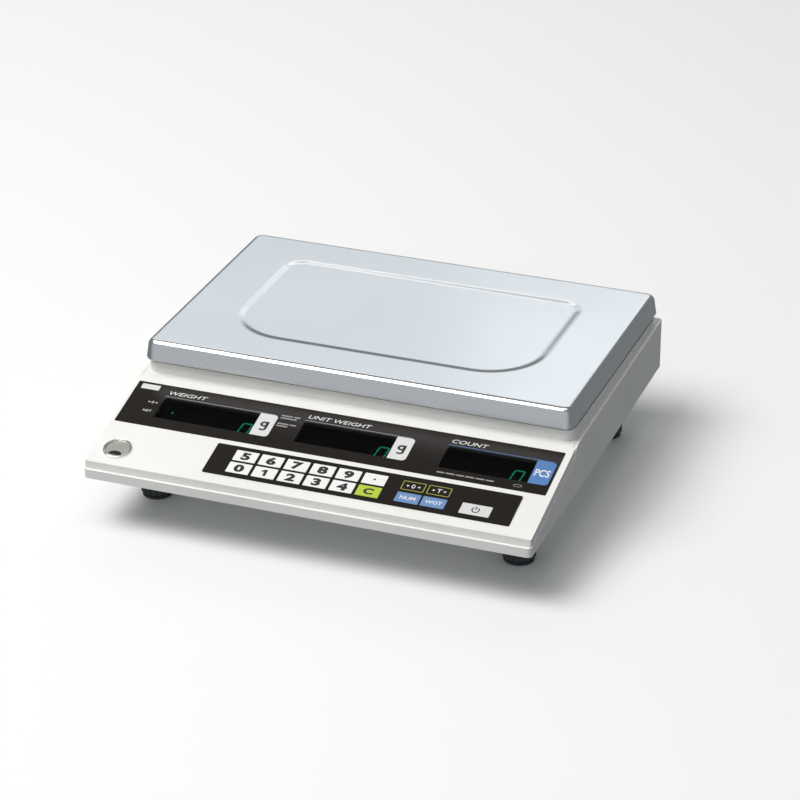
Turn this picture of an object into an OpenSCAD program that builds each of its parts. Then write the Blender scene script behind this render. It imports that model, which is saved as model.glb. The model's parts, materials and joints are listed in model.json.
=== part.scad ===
// Bench counting scale: level steel platter on a single load cell, inside a
// two-piece housing with a sloped control panel. Millimetres. The origin is the
// centre of the footprint on the bench, +X right, +Y to the back, +Z up.

/* [Housing] */
// Overall width, left to right
housing_width = 350; // [348:1:352]
// Overall depth, front to back
housing_depth = 325; // [324:1:327]
// Wall thickness of both housing mouldings
wall = 2.6; // [2.4:0.1:2.8]
// Radius of the four upright corners
corner_radius = 4; // [3.5:0.5:5]
// Height of the lower rim above the bench at the front
rim_front_z = 39.6; // [39:0.2:40]
// Height of the lower rim above the bench at the back
rim_rear_z = 44.5; // [43.5:0.5:45]
// Height of the parting line at the front
seam_front_z = 46.8; // [46.4:0.2:47.2]
// Gap along the parting line between the two mouldings
seam_gap = 0.25; // [0.2:0.05:0.35]
// Step from the front of the lower moulding back to the cover
ledge = 2; // [1.6:0.1:2.2]

/* [Control panel] */
// Tilt of the control panel from level, degrees
panel_tilt = 13.58; // [13.4:0.02:13.7]
// Length of the panel up its slope
panel_length = 97.9; // [97.6:0.1:98.2]
// Height of the front edge of the panel
panel_front_z = 53.1; // [52.9:0.1:53.3]
// Width of each digit key
key_width = 17.8; // [17:0.1:18.4]
// Height of each digit key along the slope
key_height = 11.4; // [10.8:0.1:11.8]
// Distance between neighbouring digit key columns
key_pitch = 20.32; // [20:0.02:20.5]
// Gap all round a key in the keypad film
key_gap = 0.15; // [0.1:0.05:0.2]
// Diameter of a key stem
stem_diameter = 3.4; // [3:0.1:3.6]
// Radial clearance of a key stem in its switch
stem_clearance = 0.08; // [0.04:0.01:0.1]

/* [Platter] */
// Width of the platter
platter_width = 343; // [341:1:344]
// Depth of the platter
platter_depth = 222; // [220:1:222]
// Height of the weighing surface above the bench
platter_top_z = 106.6; // [106.6:0.2:107]
// Height of the platter skirt
skirt_height = 16.1; // [15.8:0.1:16.2]
// Thickness of the steel sheet
sheet = 1.2; // [1:0.1:1.3]
// Outside radius of the bend round the top
bend_radius = 5; // [4:0.5:5.5]
// Outward lean of the skirt from top to bottom
skirt_flare = 1.5; // [1:0.1:2]
// Depth of the shallow recess in the weighing surface
recess_depth = 1.2; // [1.1:0.1:1.3]

/* [Weighing mechanism] */
// Length of the load cell
cell_length = 130; // [128:1:132]
// Width of the load cell
cell_width = 30; // [28:1:32]
// Height of the load cell
cell_height = 22; // [21.8:0.1:22.1]
// Distance of each support post from the centre, left and right
post_x = 140; // [138:1:142]
// Distance of each support post from the platter centre, front and back
post_y = 65; // [63:1:66]
// Gap over each overload stop
stop_gap = 0.5; // [0.45:0.05:0.7]

/* [Feet] */
// Distance of the feet from the centre line, left and right
foot_x = 145; // [144:0.5:145.5]
// Distance of the front feet from the centre
foot_front_y = 98; // [97:0.5:99]
// Distance of the rear feet from the centre
foot_rear_y = 116; // [114:0.5:117]
// Diameter of the levelling wheels
wheel_diameter = 25; // [24:0.5:25.5]
// Diameter of the levelling screw
stud_diameter = 8; // [7.5:0.1:8.2]
// Radial clearance of the levelling screw in its insert
stud_clearance = 0.075; // [0.05:0.005:0.1]

/* [Hidden] */
corner_facets = 32;
round_facets = 36;
fine_facets = 24;
half_depth = housing_depth / 2;
panel_front_y = -half_depth + ledge + 0.3;
panel_rear_y = panel_front_y + panel_length * cos(panel_tilt);
panel_rear_z = panel_front_z + panel_length * sin(panel_tilt);
deck_front_y = -55;
deck_front_z = panel_rear_z + 3.1;
deck_slope = 0.0248;
seam_slope = 0.22;
seam_end_y = -65;
shoulder_y = -60;
rim_mid_z = rim_front_z + 0.8;
floor_thickness = 2.8;
cover_width = housing_width - 1.8;

// Underside tub below the rim
belly_width = 316;
belly_depth = 247;
belly_y = 11.5;
belly_bottom = 20;
belly_floor = 3;
belly_radius = 12;
belly_top = belly_bottom + belly_floor;
belly_height = 23;
cut_height = 40;
foot_boss = 18;
foot_boss_top = 36;
plate_boss = 9;
board_boss = 7;

// Raised plinth below the platter
plinth_width = 341;
plinth_front_y = -55;
plinth_rear_y = 158;
plinth_top_z = 88;
plinth_radius = 8;
plinth_height = 9.6;
post_hole = 26;

// Platter placement
platter_y = half_depth - platter_depth / 2;
platter_corner = 9;
skirt_bottom_z = platter_top_z - skirt_height;
hem_width = 4;
hem_thickness = 1;
recess_half_width = 122;
recess_front_y = -70;
recess_rear_y = 69;
recess_front_radius = 44;
recess_rear_radius = 14;

// Weighing mechanism heights
plate_bottom_z = 30;
plate_thickness = 3;
plate_width = 164;
plate_depth = 90;
plate_top_z = plate_bottom_z + plate_thickness;
cell_bottom_z = plate_top_z + 3;
cell_top_z = cell_bottom_z + cell_height;
arm_bottom_z = cell_top_z + 3;
arm_thickness = 5;
arm_top_z = arm_bottom_z + arm_thickness;
arm_width = 22;
arm_angle = atan(post_y / post_x);
arm_length = 2 * sqrt(post_x * post_x + post_y * post_y);
post_diameter = 14;
spigot_diameter = 8;
post_top_z = platter_top_z - 9;
cushion_diameter = 18;
cell_bolt_x = [40, 55];
cell_hole = 17;
cell_hole_x = 12;
cell_slot = 6;
bolt_clear_hole = 6.4;
bolt_thread_hole = 6.05;
bolt_shank = 5.9;
bolt_depth = 14;
bolt_head = 10;
bolt_head_height = 5;
bolt_socket = 5.8;
bolt_socket_depth = 2.5;
spigot_height = 5;
stop_x = 72;
stop_y = stop_x * post_y / post_x;

// Window openings as centre, width and height along the slope
window_weight_at = [-105.25, 70.2];
window_weight_size = [77.5, 23.4];
window_unit_at = [6.2, 70.2];
window_unit_size = [73.2, 23.4];
window_count_at = [117.4, 70.2];
window_count_size = [68.4, 24];
window_clearance = 0.3;

// Printed films on the panel
display_film_at = [-1.25, 72.15];
display_film_size = [340.5, 48.3];
display_film_thickness = 0.4;
keypad_film_at = [35.1, 26.15];
keypad_film_size = [237.8, 32.9];
keypad_film_thickness = 0.9;
film_radius = 1;

// Keys as centre on the panel
digit_left = -57.9;
upper_row = 32.8;
lower_row = 19.25;
key_thickness = 0.5;
key_lift = 0.5;
function_key_size = [18.2, 10.4];
function_key_u = [73.9, 93.7];
function_upper_row = upper_row - 0.4;
function_lower_row = lower_row + 0.25;
power_key_size = [22.8, 11.4];
power_key_at = [125.8, 19.6];
stem_bottom = -5.5;
switch_top = -4.5;
switch_height = 3.5;
switch_size = 6;
keypad_board_top = switch_top - switch_height;
board_thickness = 1.6;
keypad_board_at = [36.5, 25.6];
keypad_board_size = [219, 35];
stem_hole = 4.4;
switch_bore_depth = 1.7;

// Display stack below the panel
filter_flange = 1.4;
filter_overlap = 2;
module_top = -11;
module_height = 8;
display_board_top = module_top - module_height;
display_board_at = [4, 72];
display_board_size = [318, 42];

// Bubble level
level_at = [-155.4, 17.8];
level_diameter = 22;
level_body = 17.8;
level_depth = 7;
level_rim = 1.6;
vial_diameter = 14.4;

// Battery bay
battery_at = [116, 6];
battery_size = [60, 134, 34];
bay_gap = 1;
cover_flange = 6;
cover_thickness = 1.5;
bay_screw_offset = battery_size[1] / 2 + 5;
bay_screw_hole = 3.3;
finger_grip_offset = battery_size[1] / 2 - 14;
terminal_x = 20;

// Circuit board in the tub
main_board_at = [-30, -52];
main_board_size = [140, 72];
main_board_z = 27;
main_board_top = main_board_z + board_thickness;

// Components on the circuit board as two corners in X and Y, then a height
board_parts = [
    [-60, -60, -42, -42, 2.2], [-30, -64, -16, -40, 3.5], [0, -62, 22, -40, 9],
    [14, -84, 28, -78, 7]
];
capacitor_x = [-76, -88];
capacitor_y = -70;
capacitor_diameter = 9;
capacitor_height = 11;

// Flat cable between the display board and its header on the circuit board
ribbon_header = [24, 4, 4];
ribbon_header_y = -82;
ribbon_width = 20;
ribbon_thickness = 0.6;
ribbon_y = -95.1;
ribbon_bend_z = 36;
ribbon_top_z = 44;

// Load cell cable, from the fixed end of the cell to the circuit board
cable_diameter = 4;
cable_bend_radius = 8;
cable_x = -88;
cable_exit_y = platter_y - 9;
cable_z = cell_bottom_z + 14;
cable_plug_y = -23;
cable_plug_z = main_board_top + 6;
cable_plug_width = 12;

// Fasteners
m3_hole = 2.6;
m3_shank = 2.5;
m3_head = 5.6;
m3_head_height = 2.2;
m3_clear_hole = 3.4;
board_hole = 3.3;
housing_hole = 4.4;
housing_shank = 3.6;
housing_head = 7.6;
housing_boss = 10;
housing_screw_at = [
    [-130, -145, 46], [162, -145, 46],
    [-163.5, 5, 52], [163.5, 5, 52],
    [-160, 149, 52], [160, 149, 52]
];
plate_screw_at = [
    [-40, platter_y - 40], [40, platter_y - 40],
    [-40, platter_y + 40], [40, platter_y + 40]
];
main_screw_at = [[-64, -30], [64, -30], [-64, 14], [64, 30]];
display_screw_at = [[-150, 90.5], [-150, 53.5], [158.5, 90.5], [158.5, 53.5]];
keypad_screw_at = [[-70, 11], [-70, 40], [143, 11], [143, 40]];
foot_at = [
    [-foot_x, -foot_front_y], [foot_x, -foot_front_y],
    [-foot_x, foot_rear_y], [foot_x, foot_rear_y]
];

// Feet
pad_height = 3;
pad_diameter = 23;
wheel_bottom = 3.2;
wheel_height = 11.5;
ankle_diameter = 6;
insert_diameter = 9.9;
insert_length = 12;
wheel_notch = 3;
stud_top_z = 33.5;
socket_floor_z = 1.2;

// External supply socket in the back wall
jack_x = 120;
jack_z = 60;
jack_width = 14;
jack_height = 12;
jack_length = 13;
jack_barrel = 9.2;
jack_bore = 6.3;
jack_pin = 2;

// Height of the outer surfaces at a given distance from the centre
function deck_z(y) = y < deck_front_y
    ? deck_front_z + (y - deck_front_y) * (deck_front_z - panel_rear_z) / (deck_front_y - panel_rear_y)
    : deck_front_z + (y - deck_front_y) * deck_slope;
function seam_z(y) = seam_front_z + (y + half_depth) * seam_slope;
function panel_z(y) = panel_front_z + (y - panel_front_y) * tan(panel_tilt);
function rim_z(y) = y < 0
    ? rim_mid_z - (rim_front_z - rim_mid_z) * y / half_depth
    : rim_mid_z + (rim_rear_z - rim_mid_z) * y / half_depth;

// Moves a shape onto the control panel: X across, Y up the slope, Z out of it
module on_panel() {
    translate([0, panel_front_y, panel_front_z])
        rotate([panel_tilt, 0, 0])
            children();
}

// Turns a side outline in Y and Z into a bar of the given width across X
module across(width) {
    rotate([90, 0, 90])
        linear_extrude(height = width, center = true)
            children();
}

// Flat rectangle with round corners
module rounded_rect(width, depth, radius) {
    square([width - 2 * radius, depth], center = true);
    square([width, depth - 2 * radius], center = true);
    for (sx = [-1, 1]) {
        for (sy = [-1, 1]) {
            translate([sx * (width / 2 - radius), sy * (depth / 2 - radius)])
                circle(r = radius, $fn = corner_facets);
        }
    }
}

// Slab with round corners, standing on its base
module rounded_slab(width, depth, radius, height) {
    linear_extrude(height = height)
        rounded_rect(width, depth, radius);
}

// Upright cylinder between two heights
module pillar(diameter, z_low, z_high, facets = fine_facets) {
    translate([0, 0, z_low])
        cylinder(d = diameter, h = z_high - z_low, $fn = facets);
}

// Box between two corners
module box(low, high) {
    translate(low)
        cube([high[0] - low[0], high[1] - low[1], high[2] - low[2]]);
}

// Flat-topped screw with a round head above the origin and a shank below it
module pan_screw(head, head_height, shank, length) {
    pillar(head, 0, head_height);
    pillar(shank, -length, 0.1);
}

// Side outline of the lower moulding
module base_outline() {
    polygon([
        [-half_depth, rim_front_z],
        [-half_depth, seam_front_z],
        [seam_end_y, seam_z(seam_end_y)],
        [shoulder_y, deck_z(shoulder_y)],
        [deck_front_y, deck_front_z],
        [half_depth, deck_z(half_depth)],
        [half_depth, rim_rear_z],
        [0, rim_mid_z]
    ]);
}

// Side outline of the space inside the lower moulding
module base_space_outline() {
    inner = half_depth - wall;
    polygon([
        [-inner, rim_front_z + floor_thickness],
        [-inner, platter_top_z],
        [inner, platter_top_z],
        [inner, rim_rear_z + floor_thickness],
        [0, rim_mid_z + floor_thickness]
    ]);
}

// Side outline of the cover where it wraps the control panel
module cover_front_outline() {
    front = -half_depth + ledge;
    polygon([
        [front, seam_z(front) + seam_gap],
        [panel_front_y, panel_front_z],
        [panel_rear_y, panel_rear_z],
        [shoulder_y - seam_gap, deck_z(shoulder_y)],
        [seam_end_y - seam_gap, seam_z(seam_end_y) + seam_gap]
    ]);
}

// Side outline of the space below the control panel
module cover_space_outline() {
    front = -half_depth + ledge + wall;
    drop = wall / cos(panel_tilt);
    polygon([
        [front, rim_front_z],
        [front, panel_z(front) - drop],
        [panel_rear_y, panel_rear_z - drop],
        [shoulder_y + wall, deck_z(shoulder_y) - wall],
        [shoulder_y + wall, rim_front_z]
    ]);
}

// Side outline of the sloping deck behind the panel
module deck_outline() {
    rear = half_depth - wall - seam_gap;
    polygon([
        [panel_rear_y, panel_rear_z],
        [deck_front_y, deck_front_z],
        [rear, deck_z(rear)],
        [rear, deck_z(rear) - wall],
        [deck_front_y, deck_front_z - wall],
        [panel_rear_y, panel_rear_z - wall]
    ]);
}

// Rounded post standing inside the tub on its floor
module tub_boss(diameter, top_z) {
    pillar(diameter, belly_bottom + 1, top_z);
}

module base_housing() {
    color([0.93, 0.93, 0.91])
    difference() {
        union() {
            difference() {
                union() {
                    intersection() {
                        across(housing_width) base_outline();
                        rounded_slab(housing_width, housing_depth, corner_radius, platter_top_z);
                    }
                    translate([0, belly_y, belly_bottom])
                        rounded_slab(belly_width, belly_depth, belly_radius, belly_height);
                }
                intersection() {
                    across(housing_width - 2 * wall) base_space_outline();
                    rounded_slab(
                        housing_width - 2 * wall, housing_depth - 2 * wall,
                        corner_radius - 2, platter_top_z
                    );
                }
                translate([0, belly_y, belly_top])
                    rounded_slab(
                        belly_width - 2 * belly_floor, belly_depth - 2 * belly_floor,
                        belly_radius - belly_floor, cut_height
                    );
            }
            for (at = foot_at) {
                translate([at[0], at[1], 0]) tub_boss(foot_boss, foot_boss_top);
            }
            for (at = plate_screw_at) {
                translate([at[0], at[1], 0]) tub_boss(plate_boss, plate_bottom_z);
            }
            for (at = main_screw_at) {
                translate([main_board_at[0] + at[0], main_board_at[1] + at[1], 0])
                    tub_boss(board_boss, main_board_z);
            }
            for (at = housing_screw_at) {
                translate([at[0], at[1], 0])
                    pillar(housing_boss, rim_z(at[1]) + 1, at[2]);
            }
            for (end = [-1, 1]) {
                translate([battery_at[0], battery_at[1] + end * bay_screw_offset, 0])
                    tub_boss(board_boss, plate_bottom_z);
            }
        }
        for (at = foot_at) {
            translate([at[0], at[1], 0]) {
                pillar(insert_diameter + 0.15, belly_bottom + 1.5, foot_boss_top + 1);
                pillar(stud_diameter + 1, belly_bottom - 1, foot_boss_top + 1);
            }
        }
        for (at = plate_screw_at) {
            translate([at[0], at[1], 0]) pillar(m3_hole, belly_top + 1, plate_bottom_z + 1);
        }
        for (at = main_screw_at) {
            translate([main_board_at[0] + at[0], main_board_at[1] + at[1], 0])
                pillar(m3_hole, belly_top, main_board_z + 1);
        }
        for (at = housing_screw_at) {
            translate([at[0], at[1], 0]) {
                pillar(housing_hole, rim_front_z - 1, at[2] + 1);
                pillar(housing_head + 0.6, rim_front_z - 1, at[2] - 3.5);
            }
        }
        translate([battery_at[0], battery_at[1], 0]) {
            translate([0, 0, belly_bottom - 1])
                rounded_slab(
                    battery_size[0] + 2 * bay_gap, battery_size[1] + 2 * bay_gap, 3, 8
                );
            translate([0, 0, belly_bottom - 1])
                rounded_slab(
                    battery_size[0] + 2 * (bay_gap + cover_flange) + 0.5,
                    battery_size[1] + 2 * (bay_gap + cover_flange) + 0.5,
                    4, 1 + cover_thickness
                );
            for (end = [-1, 1]) {
                translate([0, end * bay_screw_offset, 0])
                    pillar(m3_hole, belly_bottom, plate_bottom_z - 1);
            }
        }
        translate([jack_x, half_depth + 1, jack_z])
            rotate([90, 0, 0])
                cylinder(d = jack_barrel + 0.4, h = 2 * wall, $fn = round_facets);
    }
}

// Opening in the panel for one display window
module window_opening(at, size) {
    on_panel()
        translate([at[0], at[1], -2 * wall])
            rounded_slab(
                size[0] + window_clearance, size[1] + window_clearance, 1.2, 4 * wall
            );
}

// Round hole through the panel
module panel_hole(at, diameter) {
    on_panel()
        translate([at[0], at[1], -2 * wall])
            cylinder(d = diameter, h = 4 * wall, $fn = fine_facets);
}

// Post hanging from the underside of the panel for a circuit board
module panel_post(at, tip) {
    on_panel()
        translate([at[0], at[1], tip])
            difference() {
                cylinder(d = 6.5, h = -wall / 2 - tip, $fn = fine_facets);
                translate([0, 0, -1])
                    cylinder(d = m3_hole, h = 6, $fn = fine_facets);
            }
}

// Hollow post hanging from the panel or the plinth for a housing screw
module cover_post(at) {
    under = at[1] < panel_rear_y ? panel_z(at[1]) : plinth_top_z;
    translate([at[0], at[1], 0])
        difference() {
            pillar(8, at[2] + 0.1, under - 1.2);
            pillar(housing_shank + 0.1, at[2] - 1, at[2] + 6);
        }
}

module top_cover() {
    color([0.95, 0.95, 0.93])
    union() {
        difference() {
            union() {
                difference() {
                    intersection() {
                        across(cover_width) cover_front_outline();
                        rounded_slab(cover_width, housing_depth, corner_radius, platter_top_z);
                    }
                    across(cover_width - 2 * wall) cover_space_outline();
                }
                across(housing_width - 2 * (wall + seam_gap)) deck_outline();
                translate([0, (plinth_front_y + plinth_rear_y) / 2, plinth_top_z - plinth_height])
                    rounded_slab(
                        plinth_width, plinth_rear_y - plinth_front_y, plinth_radius,
                        plinth_height
                    );
            }
            translate([0, (plinth_front_y + plinth_rear_y) / 2, 60])
                rounded_slab(
                    plinth_width - 2 * wall, plinth_rear_y - plinth_front_y - 2 * wall,
                    plinth_radius - wall, plinth_top_z - wall - 60
                );
            for (sx = [-1, 1]) {
                for (sy = [-1, 1]) {
                    translate([sx * post_x, platter_y + sy * post_y, 0])
                        pillar(post_hole, 70, platter_top_z, round_facets);
                }
            }
            window_opening(window_weight_at, window_weight_size);
            window_opening(window_unit_at, window_unit_size);
            window_opening(window_count_at, window_count_size);
            panel_hole(level_at, level_body + 0.3);
            for (column = [0:5]) {
                panel_hole([digit_left + column * key_pitch, upper_row], stem_hole);
                panel_hole([digit_left + column * key_pitch, lower_row], stem_hole);
            }
            for (u = function_key_u) {
                panel_hole([u, function_upper_row], stem_hole);
                panel_hole([u, function_lower_row], stem_hole);
            }
            panel_hole(power_key_at, stem_hole);
        }
        for (at = housing_screw_at) {
            cover_post(at);
        }
        for (at = display_screw_at) {
            panel_post(at, display_board_top);
        }
        for (at = keypad_screw_at) {
            panel_post(at, keypad_board_top);
        }
    }
}

module chassis_plate() {
    color([0.6, 0.61, 0.63])
    difference() {
        translate([0, platter_y, plate_bottom_z])
            rounded_slab(plate_width, plate_depth, 5, plate_thickness);
        for (x = cell_bolt_x) {
            translate([-x, platter_y, 0]) pillar(bolt_clear_hole, belly_bottom, cut_height);
        }
        for (at = plate_screw_at) {
            translate([at[0], at[1], 0]) pillar(m3_clear_hole, belly_bottom, cut_height);
        }
        for (sx = [-1, 1]) {
            for (sy = [-1, 1]) {
                translate([sx * stop_x, platter_y + sy * stop_y, 0]) pillar(5.1, belly_bottom, cut_height);
            }
        }
    }
}

module cell_spacer() {
    color([0.62, 0.63, 0.64])
    difference() {
        box(
            [-cell_length / 2, platter_y - cell_width / 2, plate_top_z],
            [-cell_length / 2 + 34, platter_y + cell_width / 2, cell_bottom_z]
        );
        for (x = cell_bolt_x) {
            translate([-x, platter_y, 0]) pillar(bolt_clear_hole, belly_bottom, cell_top_z);
        }
    }
}

module load_cell() {
    mid_z = cell_bottom_z + cell_height / 2;
    color([0.75, 0.76, 0.78])
    difference() {
        box(
            [-cell_length / 2, platter_y - cell_width / 2, cell_bottom_z],
            [cell_length / 2, platter_y + cell_width / 2, cell_top_z]
        );
        for (sx = [-1, 1]) {
            translate([sx * cell_hole_x, platter_y + cell_width, mid_z])
                rotate([90, 0, 0])
                    cylinder(d = cell_hole, h = 2 * cell_width, $fn = round_facets);
        }
        box(
            [-cell_hole_x, platter_y - cell_width, mid_z - cell_slot / 2],
            [cell_hole_x, platter_y + cell_width, mid_z + cell_slot / 2]
        );
        for (x = cell_bolt_x) {
            translate([-x, platter_y, 0])
                pillar(bolt_thread_hole, belly_bottom, cell_bottom_z + bolt_depth + 1);
            translate([x, platter_y, 0])
                pillar(bolt_thread_hole, cell_top_z - bolt_depth - 1, platter_top_z);
        }
    }
}

module cell_bolts_fixed() {
    color([0.25, 0.25, 0.27])
    for (x = cell_bolt_x) {
        translate([-x, platter_y, 0]) {
            pillar(bolt_shank, plate_bottom_z - 0.1, cell_bottom_z + bolt_depth);
            difference() {
                pillar(bolt_head, plate_bottom_z - bolt_head_height, plate_bottom_z);
                translate([0, 0, plate_bottom_z - bolt_head_height - 1])
                    cylinder(d = bolt_socket, h = bolt_socket_depth + 1, $fn = 6);
            }
        }
    }
}

module cell_bolts_live() {
    color([0.25, 0.25, 0.27])
    for (x = cell_bolt_x) {
        translate([x, platter_y, 0]) {
            pillar(bolt_shank, cell_top_z - bolt_depth, arm_top_z + 0.1);
            difference() {
                pillar(bolt_head, arm_top_z, arm_top_z + bolt_head_height);
                translate([0, 0, arm_top_z + bolt_head_height - bolt_socket_depth])
                    cylinder(d = bolt_socket, h = bolt_socket_depth + 1, $fn = 6);
            }
        }
    }
}

module platter_support() {
    color([0.72, 0.73, 0.74])
    difference() {
        union() {
            for (turn = [-1, 1]) {
                translate([0, platter_y, arm_bottom_z])
                    rotate([0, 0, turn * arm_angle])
                        translate([-arm_length / 2, -arm_width / 2, 0])
                            cube([arm_length, arm_width, arm_thickness]);
            }
            translate([0, platter_y, arm_bottom_z])
                rounded_slab(150, 46, 6, arm_thickness);
            box(
                [cell_length / 2 - 34, platter_y - cell_width / 2, cell_top_z],
                [cell_length / 2, platter_y + cell_width / 2, arm_bottom_z + 1]
            );
            for (sx = [-1, 1]) {
                for (sy = [-1, 1]) {
                    translate([sx * post_x, platter_y + sy * post_y, 0]) {
                        pillar(arm_width, arm_bottom_z, arm_top_z + 2, round_facets);
                        pillar(post_diameter, arm_bottom_z + 1, post_top_z, round_facets);
                        pillar(spigot_diameter, post_top_z - 1, post_top_z + spigot_height);
                    }
                }
            }
        }
        for (x = cell_bolt_x) {
            translate([x, platter_y, 0]) pillar(bolt_clear_hole, cut_height, platter_top_z);
        }
    }
}

module support_cushions() {
    color([0.12, 0.12, 0.12])
    for (sx = [-1, 1]) {
        for (sy = [-1, 1]) {
            translate([sx * post_x, platter_y + sy * post_y, 0])
                difference() {
                    pillar(cushion_diameter, post_top_z, platter_top_z - sheet, round_facets);
                    pillar(
                        spigot_diameter + 0.1, post_top_z - 1, post_top_z + spigot_height + 0.2
                    );
                }
        }
    }
}

module overload_stops() {
    color([0.78, 0.72, 0.45])
    for (sx = [-1, 1]) {
        for (sy = [-1, 1]) {
            translate([sx * stop_x, platter_y + sy * stop_y, 0]) {
                pillar(5, plate_bottom_z, plate_top_z + 0.1);
                translate([0, 0, plate_top_z])
                    cylinder(d = 9, h = arm_bottom_z - stop_gap - plate_top_z - 4, $fn = 6);
                pillar(6, plate_top_z + 10, arm_bottom_z - stop_gap);
            }
        }
    }
}

// Cross-section of the platter rim, outward from the corner axis
module rim_section() {
    bend_at = [platter_corner - skirt_flare - bend_radius, platter_top_z - bend_radius];
    translate([0, platter_top_z - sheet])
        square([bend_at[0], sheet]);
    translate(bend_at)
        intersection() {
            difference() {
                circle(r = bend_radius, $fn = corner_facets);
                circle(r = bend_radius - sheet, $fn = corner_facets);
            }
            square([bend_radius, bend_radius]);
        }
    polygon([
        [platter_corner - skirt_flare, bend_at[1]],
        [platter_corner - skirt_flare - sheet, bend_at[1]],
        [platter_corner - sheet, skirt_bottom_z],
        [platter_corner, skirt_bottom_z]
    ]);
    translate([platter_corner - hem_width, skirt_bottom_z])
        square([hem_width - sheet / 2, hem_thickness]);
}

// Straight length of the platter rim running along Y
module rim_strip(length) {
    translate([0, length / 2, 0])
        rotate([90, 0, 0])
            linear_extrude(height = length)
                rim_section();
}

// Outline of the shallow recess, with large front and small rear corners
module recess_outline(grow) {
    front = recess_front_y - grow;
    rear = recess_rear_y + grow;
    side = recess_half_width + grow;
    front_r = recess_front_radius + grow;
    rear_r = recess_rear_radius + grow;
    translate([-side + front_r, front]) square([2 * (side - front_r), rear - front]);
    translate([-side, front + front_r]) square([2 * side, rear - front - front_r - rear_r]);
    translate([-side + rear_r, front + front_r])
        square([2 * (side - rear_r), rear - front - front_r]);
    for (sx = [-1, 1]) {
        translate([sx * (side - front_r), front + front_r])
            circle(r = front_r, $fn = 96);
        translate([sx * (side - rear_r), rear - rear_r])
            circle(r = rear_r, $fn = corner_facets);
    }
}

module platter() {
    across_axes = platter_width - 2 * platter_corner;
    along_axes = platter_depth - 2 * platter_corner;
    color([0.82, 0.83, 0.85])
    translate([0, platter_y, 0]) {
        difference() {
            translate([-across_axes / 2, -along_axes / 2, platter_top_z - sheet])
                cube([across_axes, along_axes, sheet]);
            translate([0, 0, platter_top_z - 2 * sheet])
                linear_extrude(height = 3 * sheet)
                    recess_outline(0);
        }
        translate([0, 0, platter_top_z - sheet - recess_depth])
            linear_extrude(height = recess_depth)
                recess_outline(sheet);
        for (side = [0, 180]) {
            rotate([0, 0, side]) {
                translate([across_axes / 2, 0, 0]) rim_strip(along_axes);
                rotate([0, 0, 90])
                    translate([along_axes / 2, 0, 0]) rim_strip(across_axes);
            }
        }
        for (sx = [-1, 1]) {
            for (sy = [-1, 1]) {
                start = sx > 0 ? (sy > 0 ? 0 : 270) : (sy > 0 ? 90 : 180);
                translate([sx * across_axes / 2, sy * along_axes / 2, 0])
                    rotate([0, 0, start])
                        rotate_extrude(angle = 90, $fn = corner_facets)
                            rim_section();
            }
        }
    }
}

module main_board() {
    low = [main_board_at[0] - main_board_size[0] / 2, main_board_at[1] - main_board_size[1] / 2];
    color([0.1, 0.4, 0.2])
    difference() {
        union() {
            box(
                [low[0], low[1], main_board_z],
                [low[0] + main_board_size[0], low[1] + main_board_size[1], main_board_top]
            );
            for (part = board_parts) {
                box(
                    [part[0], part[1], main_board_top - 0.1],
                    [part[2], part[3], main_board_top + part[4]]
                );
            }
            translate([0, ribbon_header_y, main_board_top + ribbon_header[2] / 2])
                cube(ribbon_header + [0, 0, 0.1], center = true);
            translate([cable_x, cable_plug_y, 0])
                box(
                    [-cable_plug_width / 2, -3, main_board_top - 0.1],
                    [cable_plug_width / 2, 3, cable_plug_z]
                );
            for (x = capacitor_x) {
                translate([x, capacitor_y, 0])
                    pillar(
                        capacitor_diameter, main_board_top - 0.1,
                        main_board_top + capacitor_height
                    );
            }
        }
        for (at = main_screw_at) {
            translate([main_board_at[0] + at[0], main_board_at[1] + at[1], 0])
                pillar(board_hole, belly_bottom, cut_height);
        }
    }
}

module display_board() {
    color([0.1, 0.35, 0.2])
    on_panel()
        difference() {
            union() {
                translate([display_board_at[0], display_board_at[1], display_board_top - board_thickness])
                    rounded_slab(
                        display_board_size[0], display_board_size[1], 2, board_thickness
                    );
                translate([-13, 59, display_board_top - board_thickness - 3])
                    cube([26, 6, 3.1]);
            }
            for (at = display_screw_at) {
                translate([at[0], at[1], display_board_top - 5])
                    cylinder(d = board_hole, h = 10, $fn = fine_facets);
            }
        }
}

// Numeric display block with a raised face, below one window
module display_block(at, size) {
    on_panel()
        translate([at[0], at[1], display_board_top]) {
            rounded_slab(size[0] - 3, size[1] - 1.5, 0.8, module_height - 1);
            translate([0, 0, module_height - 2])
                rounded_slab(size[0] - 6, size[1] - 4.5, 0.8, 2);
        }
}

module display_weight() {
    color([0.08, 0.08, 0.08]) display_block(window_weight_at, window_weight_size);
}

module display_unit() {
    color([0.08, 0.08, 0.08]) display_block(window_unit_at, window_unit_size);
}

module display_count() {
    color([0.08, 0.08, 0.08]) display_block(window_count_at, window_count_size);
}

// Smoked window let into the panel, held by a flange below it
module window_filter(at, size) {
    on_panel()
        translate([at[0], at[1], 0]) {
            translate([0, 0, -wall - filter_flange])
                rounded_slab(
                    size[0] + 2 * filter_overlap, size[1] + 2 * filter_overlap,
                    2, filter_flange
                );
            translate([0, 0, -wall - 0.1])
                rounded_slab(size[0], size[1], 1, wall + 0.1);
        }
}

module window_weight() {
    color([0.05, 0.05, 0.07]) window_filter(window_weight_at, window_weight_size);
}

module window_unit() {
    color([0.05, 0.05, 0.07]) window_filter(window_unit_at, window_unit_size);
}

module window_count() {
    color([0.05, 0.05, 0.07]) window_filter(window_count_at, window_count_size);
}

// Clear window cut in the display film
module film_window(at, size) {
    translate(at)
        square([size[0], size[1]], center = true);
}

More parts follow.
